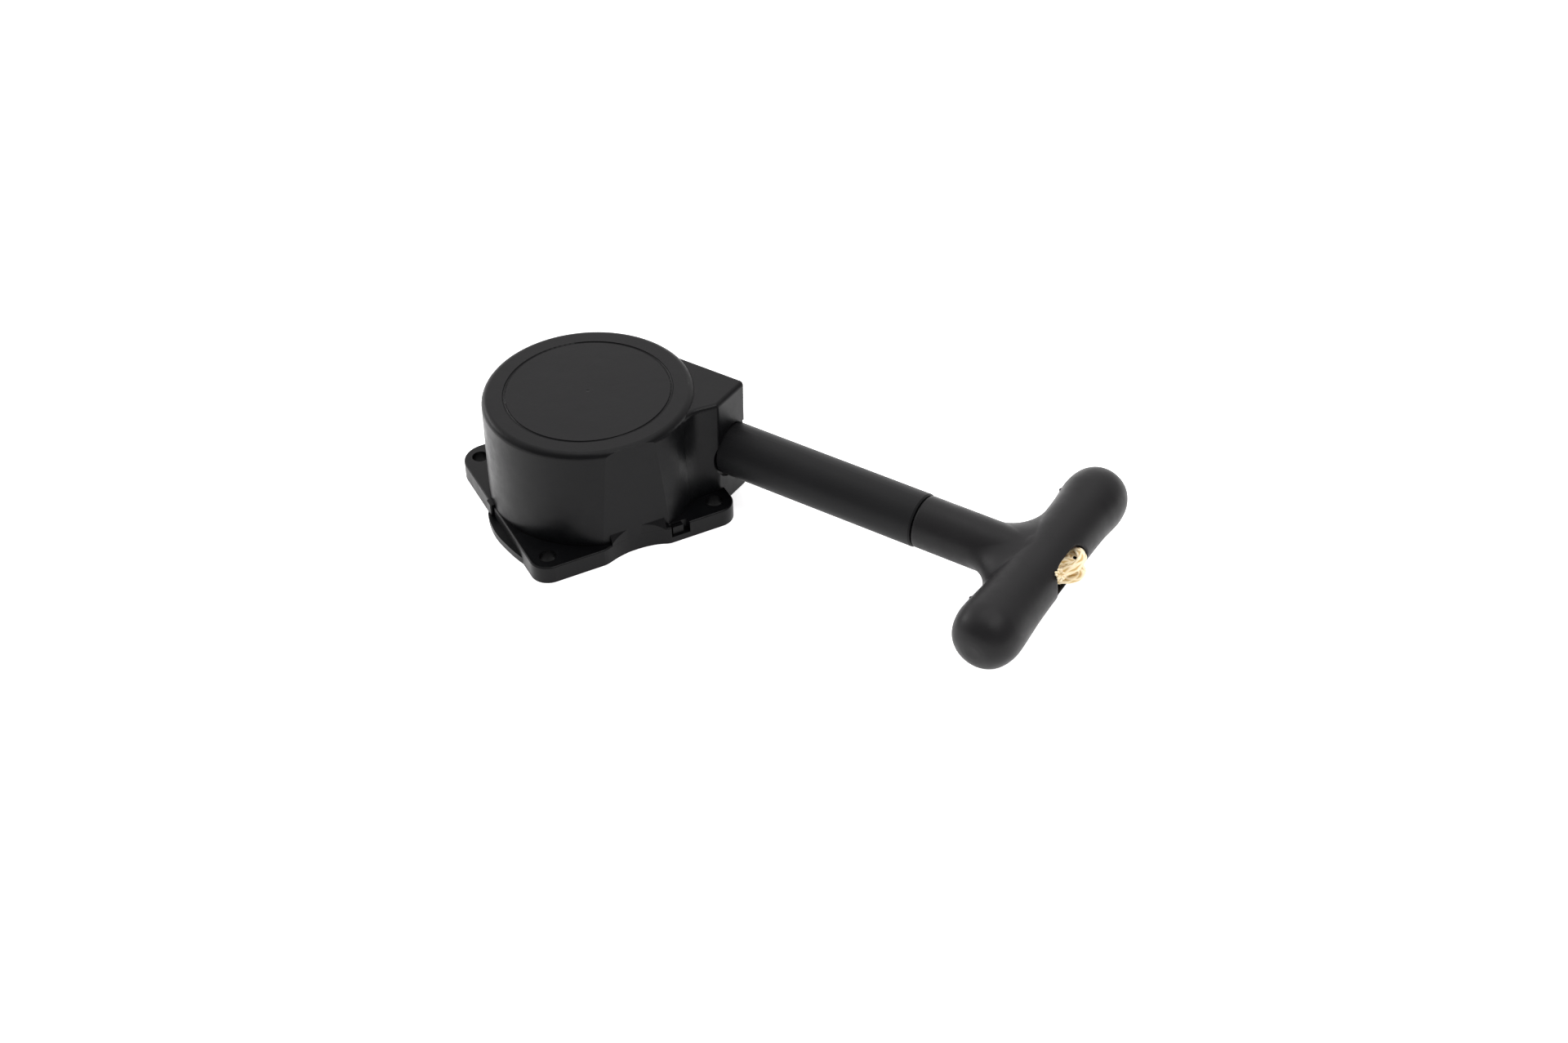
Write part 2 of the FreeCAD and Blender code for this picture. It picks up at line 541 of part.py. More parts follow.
# hollowed core, open at the top, leaves hub and groove wall
reel = reel.cut(ring(13.4, 9.0, 14.4, 25.0))
for i in range(6):
    reel = reel.fuse([turn(Part.makeBox(5.6, 1.6, 6.2, V(8.4, -0.8, 14.3)), 60 * i + 10)])
# slot for the spring's inner hook (turned to meet it)
slot_a = 0.0 if sgn > 0 else 180.0
reel = reel.cut(turn(Part.makeBox(3.0, 2.0, 12.0, V(REEL_BORE_R + 0.9, -1.25, SPRING_Z0 - 1.0)), slot_a))
# lightening holes, rope hole, pawl pin holes
for i in range(6):
    reel = reel.cut(cyl(2.6, 30, polar(21.2, 60 * i + 25, 8)))
reel = reel.cut(cyl(1.6, 4, polar(18.4, 200.0, REEL_Z1 - 2.5)))
for i in range(2):
    reel = reel.cut(cyl(1.5, 30, polar(PAWL_PIVOT_R, 180 * i, 5)).common(cyl(40, 9.0, V(0, 0, 5))))
reel = clean(reel)
save("rope_reel", reel)

ak = Part.makeTorus(1.5, 1.15, polar(18.4, 200.0, REEL_Z1 + 1.2)).fuse([Part.makeSphere(1.45, polar(18.4, 200.0, REEL_Z1 + 1.5))])
save("rope_anchor_knot", clean(ak))

# ===================================================================== pawls
# each pawl turns on a pin under the reel; its peg runs in a cam slot of the
# friction plate
pins = []
for i in range(2):
    c = polar(PAWL_PIVOT_R, 180 * i, 0)
    p = cyl(1.5, 14.0 - 8.95, V(c.x, c.y, 8.95))
    hd = cyl(2.3, 0.15, V(c.x, c.y, 8.85))
    pins.append(clean(p.fuse([hd])))
save("pawl_pins", Part.makeCompound(pins), 2)

gam0 = math.radians(-102.0)           # pawl direction at rest, from its pivot
peg0 = math.radians(-75.0)            # direction of the peg from the pivot
piv = V(PAWL_PIVOT_R, 0, 0)
tip = V(piv.x + PAWL_LEN * math.cos(gam0), piv.y + PAWL_LEN * math.sin(gam0), 0)
pd = V(math.cos(gam0), math.sin(gam0), 0)
pn = V(-pd.y, pd.x, 0)                # to the outer side


def pp(s, n):
    q = piv + pd * s + pn * n
    return (q.x, q.y)


pawl = cyl(3.0, PAWL_Z1 - PAWL_Z0, V(piv.x, piv.y, PAWL_Z0))
pawl = pawl.fuse([poly_prism([pp(0, 3.0), pp(5.0, 2.9), pp(PAWL_LEN, 2.3), pp(PAWL_LEN + 1.2, -0.2),
                              pp(PAWL_LEN - 1.2, -1.0), pp(5.5, -1.7), pp(0, -3.0)], PAWL_Z0, PAWL_Z1)])
pawl = clean(pawl)
peg_c = V(piv.x + PAWL_PEG_DIST * math.cos(peg0), piv.y + PAWL_PEG_DIST * math.sin(peg0), 0)
pawl = pawl.fuse([cyl(1.1, PAWL_Z0 - PLATE_Z0 + 0.7, V(peg_c.x, peg_c.y, PLATE_Z0 - 0.2))])
pawl = clean(pawl.cut(cyl(1.56, 10, V(piv.x, piv.y, 5))))
save("pawl_a", pawl)
save("pawl_b", turn(pawl, 180))

# small wire springs on the pins, above the pawls
springs = []
for i in range(2):
    s = Part.makeTorus(2.35, 0.14, V(piv.x, piv.y, 12.0))
    leg = Part.makeCylinder(0.14, 5.0, V(piv.x + 2.35, piv.y, 12.0), V(0.15, 1, 0))
    springs.append(turn(s.fuse([leg]), 180 * i))
save("pawl_springs", Part.makeCompound(springs), 2)

# ============================================================ friction plate
path = []
n = 8
for j in range(n + 1):
    al = math.radians(PAWL_SWING * j / n)
    be = math.radians(PLATE_TURN * j / n)
    q = V(piv.x + PAWL_PEG_DIST * math.cos(peg0 + al), piv.y + PAWL_PEG_DIST * math.sin(peg0 + al), 0)
    path.append((q.x * math.cos(-be) - q.y * math.sin(-be), q.x * math.sin(-be) + q.y * math.cos(-be)))


def slot_solid(r, z0, z1, pad=0.0):
    parts = [cyl(r, z1 - z0, V(x, y, z0)) for x, y in path]
    for (xa, ya), (xb, yb) in zip(path, path[1:]):
        d = math.hypot(xb - xa, yb - ya)
        b = Part.makeBox(d, 2 * r, z1 - z0, V(0, -r, 0))
        b.rotate(V(0, 0, 0), ZAX, math.degrees(math.atan2(yb - ya, xb - xa)))
        b.translate(V(xa, ya, z0))
        parts.append(b)
    return parts[0].fuse(parts[1:])


plate2 = cyl(10.0, PLATE_Z1 - PLATE_Z0, V(0, 0, PLATE_Z0))
ears = []
for (x, y) in (path[0], path[n // 2], path[n]):
    ears.append(cyl(3.6, PLATE_Z1 - PLATE_Z0, V(x, y, PLATE_Z0)))
ears.append(poly_prism([(0, 0), (path[0][0] + 2.4, path[0][1] + 2.4), (path[n][0] + 2.0, path[n][1] + 0.0),
                        (path[n][0] - 3.0, path[n][1] - 2.4)], PLATE_Z0, PLATE_Z1))
for i in range(2):
    plate2 = plate2.fuse([turn(e, 180 * i) for e in ears])
plate2 = clean(plate2)
sl = slot_solid(1.1 + 0.32, PLATE_Z0 - 1, PLATE_Z1 + 1)
# clearance round the two pawl pins over the whole lag
pin_clear = []
for j in range(5):
    a = -PLATE_TURN * j / 4.0
    pin_clear.append(cyl(2.3 + 0.35, 5, polar(PAWL_PIVOT_R, a, PLATE_Z0 - 1)))
for i in range(2):
    plate2 = plate2.cut(turn(sl, 180 * i))
plate2 = plate2.cut(cyl(2.2, 5, V(0, 0, PLATE_Z0 - 1)))
plate2 = clean(plate2)
save("friction_plate", plate2)
print("done")
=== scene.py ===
"""Looks for the recoil starter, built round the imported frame. Metres, row frame."""
import math

import bpy
import numpy as np
from mathutils import Matrix, Vector


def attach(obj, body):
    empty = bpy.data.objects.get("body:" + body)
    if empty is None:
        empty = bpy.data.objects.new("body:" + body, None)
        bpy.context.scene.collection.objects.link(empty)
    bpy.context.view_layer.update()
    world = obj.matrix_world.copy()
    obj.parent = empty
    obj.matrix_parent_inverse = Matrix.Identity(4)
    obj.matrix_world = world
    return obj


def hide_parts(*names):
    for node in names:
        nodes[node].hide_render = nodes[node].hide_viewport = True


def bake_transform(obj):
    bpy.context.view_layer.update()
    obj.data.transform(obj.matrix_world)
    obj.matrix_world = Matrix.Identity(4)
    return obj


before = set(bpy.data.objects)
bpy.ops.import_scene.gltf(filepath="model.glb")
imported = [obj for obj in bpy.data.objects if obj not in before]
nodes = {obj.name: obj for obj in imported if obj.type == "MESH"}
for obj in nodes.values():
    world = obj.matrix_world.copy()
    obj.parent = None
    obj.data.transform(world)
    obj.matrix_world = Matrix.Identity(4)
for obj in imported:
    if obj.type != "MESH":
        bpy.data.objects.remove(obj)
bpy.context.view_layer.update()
scene = bpy.context.scene
MM = 0.001

# rope line and handle, millimetres, as in the CAD
RY, RZ = 22.0, 16.7
BAR_X = 138.0
TILT = math.radians(4.0)
STEM_X0 = 100.3
STEM_R = 7.75
BAR_NEAR, BAR_FAR = 38.4, 40.0
POCKET_X0, POCKET_L, POCKET_W, POCKET_SHIFT = 140.4, 17.0, 10.8, 2.0
KNOT_SHIFT = 2.0
PULL = 450.0

# ------------------------------------------------------------------ camera
cam_data = bpy.data.cameras.new("camera")
cam_data.sensor_fit = "HORIZONTAL"
cam_data.sensor_width = 36.0
cam_data.lens = 56.07
cam_data.clip_start = 0.01
cam_data.clip_end = 20.0
cam = bpy.data.objects.new("camera", cam_data)
scene.collection.objects.link(cam)
right = Vector((0.83658, 0.54731, -0.02357)).normalized()
up = Vector((-0.33137, 0.53983, 0.7736))
up = (up - right * up.dot(right)).normalized()
back = right.cross(up)
cam.matrix_world = Matrix((
    (right.x, up.x, back.x, 0.3689),
    (right.y, up.y, back.y, -0.4420),
    (right.z, up.z, back.z, 0.4554),
    (0, 0, 0, 1)))
scene.camera = cam
scene.view_settings.view_transform = "Standard"

# ------------------------------------------------------------- light, floor
# a bright room behind the object, darker on the viewer's side
world = bpy.data.worlds.new("studio")
world.use_nodes = True
wn = world.node_tree
bg = wn.nodes["Background"]
wtc = wn.nodes.new("ShaderNodeTexCoord")
wdot = wn.nodes.new("ShaderNodeVectorMath")
wdot.operation = "DOT_PRODUCT"
wdot.inputs[1].default_value = (-0.62, 0.62, 0.48)
wramp = wn.nodes.new("ShaderNodeMapRange")
wramp.inputs["From Min"].default_value = -0.15
wramp.inputs["From Max"].default_value = 0.9
wramp.inputs["To Min"].default_value = 0.5
wramp.inputs["To Max"].default_value = 1.55
wn.links.new(wtc.outputs["Generated"], wdot.inputs[0])
wn.links.new(wdot.outputs["Value"], wramp.inputs["Value"])
wn.links.new(wramp.outputs["Result"], bg.inputs["Strength"])
bg.inputs[0].default_value = (1.0, 0.985, 0.99, 1.0)
scene.world = world


def area(name, loc, target, size, power, size_y=None):
    d = bpy.data.lights.new(name, "AREA")
    d.shape = "RECTANGLE"
    d.size = size
    d.size_y = size_y or size
    d.energy = power
    o = bpy.data.objects.new(name, d)
    scene.collection.objects.link(o)
    o.location = loc
    o.rotation_euler = (Vector(target) - Vector(loc)).to_track_quat("-Z", "Y").to_euler()
    return o


area("key", (0.55, 0.02, 0.95), (0.12, 0, 0.02), 0.36, 3.2)
area("top", (0.0, 0.2, 1.1), (0.06, 0, 0.02), 0.8, 3.0)
area("left_rim", (-0.85, -0.05, 0.34), (0, 0, 0.02), 0.5, 2.2, 0.3)


def mesh_object(name, verts, faces, smooth=True):
    me = bpy.data.meshes.new(name)
    verts = np.asarray(verts, dtype=np.float64)
    me.vertices.add(len(verts))
    me.vertices.foreach_set("co", verts.astype(np.float32).ravel())
    faces = [tuple(int(i) for i in f) for f in faces]
    loops = [i for f in faces for i in f]
    starts = np.cumsum([0] + [len(f) for f in faces[:-1]])
    me.loops.add(len(loops))
    me.loops.foreach_set("vertex_index", np.array(loops, dtype=np.int32))
    me.polygons.add(len(faces))
    me.polygons.foreach_set("loop_start", starts.astype(np.int32))
    me.update(calc_edges=True)
    me.validate()
    if smooth:
        me.polygons.foreach_set("use_smooth", [True] * len(me.polygons))
    ob = bpy.data.objects.new(name, me)
    scene.collection.objects.link(ob)
    return ob


fl = 2.4
floor = mesh_object("floor", [(-fl, -fl, 0), (fl, -fl, 0), (fl, fl, 0), (-fl, fl, 0)], [(0, 1, 2, 3)], False)
floor.location.z = -0.0002
m = bpy.data.materials.new("floor_white")
m.use_nodes = True
b = m.node_tree.nodes["Principled BSDF"]
b.inputs["Base Color"].default_value = (0.93, 0.93, 0.93, 1)
b.inputs["Emission Color"].default_value = (1, 1, 1, 1)
b.inputs["Emission Strength"].default_value = 0.72   # a lit table
b.inputs["Roughness"].default_value = 0.9
b.inputs["Specular IOR Level"].default_value = 0.2
floor.data.materials.append(m)


# ---------------------------------------------------------------- materials
def node_material(name):
    m = bpy.data.materials.new(name)
    m.use_nodes = True
    nt = m.node_tree
    b = nt.nodes["Principled BSDF"]
    tc = nt.nodes.new("ShaderNodeTexCoord")
    return m, nt, b, tc


def stretched(nt, tc, s):
    mp = nt.nodes.new("ShaderNodeMapping")
    mp.inputs["Scale"].default_value = s
    nt.links.new(tc.outputs["Object"], mp.inputs["Vector"])
    return mp.outputs["Vector"]


def noise(nt, vec, scale, detail=2.0, rough=0.5):
    n = nt.nodes.new("ShaderNodeTexNoise")
    n.inputs["Scale"].default_value = scale
    n.inputs["Detail"].default_value = detail
    n.inputs["Roughness"].default_value = rough
    nt.links.new(vec, n.inputs["Vector"])
    return n.outputs["Fac"]


def ramp(nt, fac, c0, c1, p0=0.3, p1=0.7):
    r = nt.nodes.new("ShaderNodeValToRGB")
    r.color_ramp.elements[0].position = p0
    r.color_ramp.elements[0].color = tuple(c0) + (1,)
    r.color_ramp.elements[1].position = p1
    r.color_ramp.elements[1].color = tuple(c1) + (1,)
    nt.links.new(fac, r.inputs["Fac"])
    return r.outputs["Color"]


def span(nt, fac, lo, hi, f0=0.3, f1=0.7):
    r = nt.nodes.new("ShaderNodeMapRange")
    r.inputs["From Min"].default_value = f0
    r.inputs["From Max"].default_value = f1
    r.inputs["To Min"].default_value = lo
    r.inputs["To Max"].default_value = hi
    nt.links.new(fac, r.inputs["Value"])
    return r.outputs["Result"]


def bumped(nt, b, layers):
    """layers: (height socket, distance in metres, strength), chained."""
    last = None
    for h, dist, strength in layers:
        n = nt.nodes.new("ShaderNodeBump")
        n.inputs["Strength"].default_value = strength
        n.inputs["Distance"].default_value = dist
        nt.links.new(h, n.inputs["Height"])
        if last is not None:
            nt.links.new(last, n.inputs["Normal"])
        last = n.outputs["Normal"]
    nt.links.new(last, b.inputs["Normal"])


def plastic(name, col, rough, spec, grain=0.00003, grain_scale=3200.0, wave=0.00010, streak=None, var=0.12, coat=0.0):
    """Moulded or extruded plastic: slow colour drift, uneven gloss, fine grain
    and shallow flow marks; streak stretches the marks along one axis."""
    m, nt, b, tc = node_material(name)
    obj = tc.outputs["Object"]
    drift = noise(nt, obj, 55.0, 5.0)
    nt.links.new(ramp(nt, drift, [c * (1 - var) for c in col], [c * (1 + var) for c in col]), b.inputs["Base Color"])
    vec = stretched(nt, tc, streak) if streak else obj
    gloss = noise(nt, vec, 210.0, 6.0, 0.62)
    nt.links.new(span(nt, gloss, rough - 0.055, rough + 0.075), b.inputs["Roughness"])
    b.inputs["Specular IOR Level"].default_value = spec
    b.inputs["Coat Weight"].default_value = coat
    b.inputs["Coat Roughness"].default_value = 0.5
    fine = noise(nt, obj, grain_scale, 2.0)
    flow = noise(nt, vec, 130.0, 3.0)
    bumped(nt, b, [(flow, wave, 0.5), (fine, grain, 0.5)])
    return m


def metal(name, col, rough, lay=None, lay_scale=900.0, depth=0.00002, var=0.10, rings=False):
    m, nt, b, tc = node_material(name)
    obj = tc.outputs["Object"]
    b.inputs["Metallic"].default_value = 1.0
    drift = noise(nt, obj, 140.0, 4.0)
    nt.links.new(ramp(nt, drift, [c * (1 - var) for c in col], [min(1.0, c * (1 + var)) for c in col]), b.inputs["Base Color"])
    vec = stretched(nt, tc, lay) if lay else obj
    streak = noise(nt, vec, lay_scale, 4.0, 0.6)
    nt.links.new(span(nt, streak, rough - 0.07, rough + 0.1), b.inputs["Roughness"])
    layers = [(streak, depth, 0.5)]
    if rings:
        w = nt.nodes.new("ShaderNodeTexWave")
        w.wave_type = "RINGS"
        w.rings_direction = "Z"
        w.inputs["Scale"].default_value = 1400.0
        w.inputs["Distortion"].default_value = 0.6
        nt.links.new(obj, w.inputs["Vector"])
        layers.append((w.outputs["Fac"], 0.00001, 0.4))
    bumped(nt, b, layers)
    return m


def rope_material():
    """Cream nylon braid: painted ochre shade in the hollows, fine fibres along the strands."""
    m, nt, b, tc = node_material("rope_fibre")
    obj = tc.outputs["Object"]
    at = nt.nodes.new("ShaderNodeAttribute")
    at.attribute_name = "crest"
    # painted shade: where the crest attribute is low, in the braid's hollows, the colour is dark ochre instead of
    # cream
    body = ramp(nt, at.outputs["Fac"], (0.60, 0.40, 0.14), (0.93, 0.81, 0.58), 0.05, 0.5)
    dirt = noise(nt, obj, 420.0, 4.0)
    mix = nt.nodes.new("ShaderNodeMix")
    mix.data_type = "RGBA"
    mix.blend_type = "MULTIPLY"
    mix.inputs[0].default_value = 0.5
    nt.links.new(body, mix.inputs[6])
    nt.links.new(ramp(nt, dirt, (0.82, 0.74, 0.58), (1.0, 1.0, 1.0), 0.35, 0.6), mix.inputs[7])
    nt.links.new(mix.outputs[2], b.inputs["Base Color"])
    b.inputs["Roughness"].default_value = 0.72
    b.inputs["Specular IOR Level"].default_value = 0.3
    b.inputs["Sheen Weight"].default_value = 0.25
    b.inputs["Subsurface Weight"].default_value = 0.12
    b.inputs["Subsurface Radius"].default_value = (0.0012, 0.0009, 0.0005)
    b.inputs["Subsurface Scale"].default_value = 0.5
    fibre = noise(nt, obj, 5200.0, 3.0, 0.6)
    bumped(nt, b, [(fibre, 0.00007, 0.7)])
    return m


M = {
    "housing_plastic": plastic("housing_plastic", (0.0022, 0.0022, 0.0026), 0.33, 0.125),
    "tube_plastic": plastic("tube_plastic", (0.0062, 0.0063, 0.0068), 0.48, 0.14, grain=0.000015,
                            wave=0.00005, streak=(0.12, 1.0, 1.0)),
    "handle_plastic": plastic("handle_plastic", (0.0070, 0.0067, 0.0073), 0.42, 0.17, grain=0.00003,
                              wave=0.00012),
    "reel_plastic": plastic("reel_plastic", (0.060, 0.062, 0.066), 0.48, 0.35, grain_scale=2600.0),
    "bush_plastic": plastic("bush_plastic", (0.70, 0.68, 0.62), 0.36, 0.5, grain=0.00001, var=0.04),
    "rope_fibre": rope_material(),
    "spring_steel": metal("spring_steel", (0.17, 0.19, 0.24), 0.30, (1.0, 1.0, 14.0), 500.0, 0.00001, 0.22),
    "case_steel": metal("case_steel", (0.60, 0.59, 0.56), 0.36, None, 500.0, 0.00003),
    "zinc_steel": metal("zinc_steel", (0.63, 0.62, 0.60), 0.31, None, 700.0, 0.00002, 0.14),
    "turned_steel": metal("turned_steel", (0.56, 0.56, 0.57), 0.24, (1.0, 1.0, 22.0), 500.0, 0.00001, 0.06, True),
    "pawl_steel": metal("pawl_steel", (0.30, 0.29, 0.28), 0.47, None, 1500.0, 0.00004, 0.18),
}
SLOT = {
    "starter_housing": "housing_plastic", "guide_tube": "tube_plastic", "pull_handle": "handle_plastic",
    "rope_exit_bush": "bush_plastic", "rope_coil": "rope_fibre", "rope_run": "rope_fibre",
    "rope_knot": "rope_fibre", "rope_anchor_knot": "rope_fibre", "rope_reel": "reel_plastic",
    "center_post": "turned_steel", "center_screw": "zinc_steel", "spring_washer": "spring_steel",
    "spring_case": "case_steel", "spring_cover": "case_steel", "spring_cover_screws": "zinc_steel",
    "recoil_spring": "spring_steel", "pawl_pins": "turned_steel", "pawl_a": "pawl_steel",
    "pawl_b": "pawl_steel", "pawl_springs": "spring_steel", "friction_plate": "zinc_steel",
}
for n, o in nodes.items():
    o.data.materials.clear()
    o.data.materials.append(M[SLOT[n]])


def finish_piece(ob, slot, body=None, stands_for=None):
    ob.data.materials.clear()
    ob.data.materials.append(M[slot])
    if body:
        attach(ob, body)
    if stands_for:
        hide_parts(stands_for)
    return ob


# ------------------------------------------------------------------- handle
def resample(points, n=160):
    """Smooth curve through (t, r) points, as r over t."""
    p = np.array(points, float)
    s = np.concatenate([[0], np.cumsum(np.hypot(*np.diff(p, axis=0).T))])
    out = []
    q = np.vstack([2 * p[0] - p[1], p, 2 * p[-1] - p[-2]])
    for i in range(len(p) - 1):
        p0, p1, p2, p3 = q[i], q[i + 1], q[i + 2], q[i + 3]
        for k in np.linspace(0, 1, max(2, n // len(p)), endpoint=False):
            out.append(0.5 * ((2 * p1) + (-p0 + p2) * k + (2 * p0 - 5 * p1 + 4 * p2 - p3) * k ** 2
                              + (-p0 + 3 * p1 - 3 * p2 + p3) * k ** 3))
    out.append(p[-1])
    out = np.array(out)
    order = np.argsort(out[:, 0])
    return out[order, 0], out[order, 1]


ln, lf = BAR_NEAR, BAR_FAR
PROF_T, PROF_R = resample([
    (-ln, 2.4), (-ln + 0.35, 4.3), (-ln + 1.4, 6.4), (-ln + 3.1, 8.1), (-ln + 5.4, 9.2), (-ln + 8.4, 9.82),
    (-ln + 11.5, 9.83), (-22, 9.5), (-16, 9.1), (-8, 8.85), (0, 8.8), (8, 8.8), (16, 8.8), (22, 8.92),
    (26, 9.25), (lf - 10.3, 9.5), (lf - 6.6, 9.1), (lf - 3.7, 8.0), (lf - 1.7, 6.4), (lf - 0.45, 4.4), (lf, 2.4)])
PROF_S = np.gradient(PROF_R, PROF_T)


def handle_field(P):
    """Distance-like field of the T-handle, millimetres, below zero inside.
    P is in the handle's own frame: x from the bar's axis, t along the bar."""
    x, t, z = P[..., 0], P[..., 1], P[..., 2]
    r = np.interp(t, PROF_T, PROF_R)
    s = np.interp(t, PROF_T, PROF_S)
    bar = (np.hypot(x, z) - r) / np.sqrt(1 + s * s)
    bar = np.maximum(bar, np.maximum(-ln - t, t - lf))
    rho = np.hypot(t, z)
    x0 = STEM_X0 - BAR_X
    stem = rho - STEM_R
    stem = np.maximum(stem, (stem + (x0 - x) + 0.45) / 1.4142)
    stem = np.maximum(stem, np.maximum(x0 - x, x - 1.0))
    rr = np.maximum(1.2, 12.5 * (1 - (z / 8.3) ** 2)) * np.clip(-x / 4.0, 1e-4, 1)
    both = (bar < rr) & (stem < rr) & (x > x0 + 6)
    blend = np.maximum(rr, np.minimum(bar, stem)) - np.hypot(np.maximum(rr - bar, 0), np.maximum(rr - stem, 0))
    f = np.where(both, blend, np.minimum(bar, stem))
    nose = np.maximum(rho - 5.55, np.maximum(92.2 - BAR_X - x, x - x0 - 2.0))
    nose = np.maximum(nose, (nose + (92.2 - BAR_X - x) + 0.8) / 1.4142)
    f = np.minimum(f, nose)
    # moulding nibs on the parting line
    for tn, zn in ((-24.0, 4.2), (26.5, 4.0)):
        rn = np.interp(tn, PROF_T, PROF_R)
        f = np.minimum(f, np.sqrt((x + math.sqrt(rn * rn - zn * zn) - 0.1) ** 2 + (t - tn) ** 2 + (z - zn) ** 2) - 0.5)
    # knot pocket and rope bore, edges slightly broken
    c = POCKET_W / 2 - 0.1
    qt = np.abs(t - POCKET_SHIFT) - (POCKET_L / 2 - c)
    qz = np.abs(z) - (POCKET_W / 2 - c)
    pk = np.hypot(np.maximum(qt, 0), np.maximum(qz, 0)) + np.minimum(np.maximum(qt, qz), 0) - c
    pk = np.maximum(pk, POCKET_X0 - BAR_X - x)
    k = 0.45
    h = np.clip(0.5 + 0.5 * (f + pk) / k, 0, 1)
    f = (-pk) * (1 - h) + f * h + k * h * (1 - h)
    bore = np.maximum(rho - 1.9, x - (POCKET_X0 - BAR_X) - 1.0)
    return np.maximum(f, -bore)


def surface_nets(field, lo, hi, h):
    """One closed skin of field = 0 on a regular grid, settled on the surface."""
    ax = [np.arange(a, b + h, h) for a, b in zip(lo, hi)]
    G = np.stack(np.meshgrid(*ax, indexing="ij"), -1)
    F = field(G)
    inside = F < 0
    nx, ny, nz = F.shape
    c = np.zeros((nx - 1, ny - 1, nz - 1), dtype=np.int32)
    for i in (0, 1):
        for j in (0, 1):
            for k in (0, 1):
                c += inside[i:nx - 1 + i, j:ny - 1 + j, k:nz - 1 + k]
    active = (c > 0) & (c < 8)
    idx = np.full(active.shape, -1, dtype=np.int64)
    cells = np.argwhere(active)
    idx[tuple(cells.T)] = np.arange(len(cells))
    acc = np.zeros((len(cells), 3))
    cnt = np.zeros(len(cells))
    corners = [(i, j, k) for i in (0, 1) for j in (0, 1) for k in (0, 1)]
    for a in range(8):
        for d in range(3):
            ca = corners[a]
            if ca[d]:
                continue
            cb = list(ca)
            cb[d] = 1
            ia = tuple((cells + ca).T)
            ib = tuple((cells + cb).T)
            fa, fb = F[ia], F[ib]
            cross = (fa < 0) != (fb < 0)
            w = np.where(cross, fa / np.where(cross, fa - fb, 1), 0)
            pt = np.array(ca, float)[None, :] + w[:, None] * (np.array(cb, float) - np.array(ca, float))[None, :]
            acc += np.where(cross[:, None], pt, 0)
            cnt += cross
    V = (cells + acc / cnt[:, None]) * h + np.array(lo)
    faces = []
    for d in range(3):
        e = [0, 0, 0]
        e[d] = 1
        sl_a = inside[:nx - e[0], :ny - e[1], :nz - e[2]]
        sl_b = inside[e[0]:, e[1]:, e[2]:]
        cr = np.argwhere(sl_a != sl_b)
        u, v = [(1, 2), (2, 0), (0, 1)][d]
        ok = (cr[:, u] > 0) & (cr[:, v] > 0) & (cr[:, u] < F.shape[u] - 1) & (cr[:, v] < F.shape[v] - 1)
        cr = cr[ok]
        du = np.zeros(3, int)
        dv = np.zeros(3, int)
        du[u] = 1
        dv[v] = 1
        q = np.stack([idx[tuple((cr - du - dv).T)], idx[tuple((cr - dv).T)], idx[tuple(cr.T)], idx[tuple((cr - du).T)]], 1)
        flip = ~sl_a[tuple(cr.T)]
        q[flip] = q[flip][:, ::-1]
        faces.append(q)
    faces = np.concatenate(faces)
    for _ in range(4):
        f = field(V)
        e = 0.02
        g = np.stack([(field(V + np.array(o) * e) - field(V - np.array(o) * e)) / (2 * e) for o in np.eye(3)], -1)
        g2 = np.maximum((g * g).sum(-1), 0.05)
        V -= np.clip(f / g2, -0.3 * h, 0.3 * h)[:, None] * g
    return V, faces


def tilt_to_row(P):
    """Handle's own frame to the row frame, millimetres."""
    x, t, z = P[:, 0], P[:, 1], P[:, 2]
    c, s = math.cos(TILT), math.sin(TILT)
    return np.stack([x + BAR_X, RY + c * t - s * z, RZ + s * t + c * z], 1)


V, Q = surface_nets(handle_field, (-46.6, -39.4, -10.6), (10.4, 41.0, 10.6), 0.4)
handle = mesh_object("handle_skin", tilt_to_row(V) * MM, Q)
finish_piece(handle, "handle_plastic", "handle", "pull_handle")


# --------------------------------------------------------------------- rope
def frames_along(path):
    T = np.gradient(path, axis=0)
    T /= np.linalg.norm(T, axis=1)[:, None]
    N = np.zeros_like(T)
    a = np.array([0.0, 0.0, 1.0]) if abs(T[0][2]) < 0.9 else np.array([1.0, 0.0, 0.0])
    n = a - T[0] * (a @ T[0])
    N[0] = n / np.linalg.norm(n)
    for i in range(1, len(T)):
        n = N[i - 1] - T[i] * (N[i - 1] @ T[i])
        N[i] = n / np.linalg.norm(n)
    return T, N, np.cross(T, N)


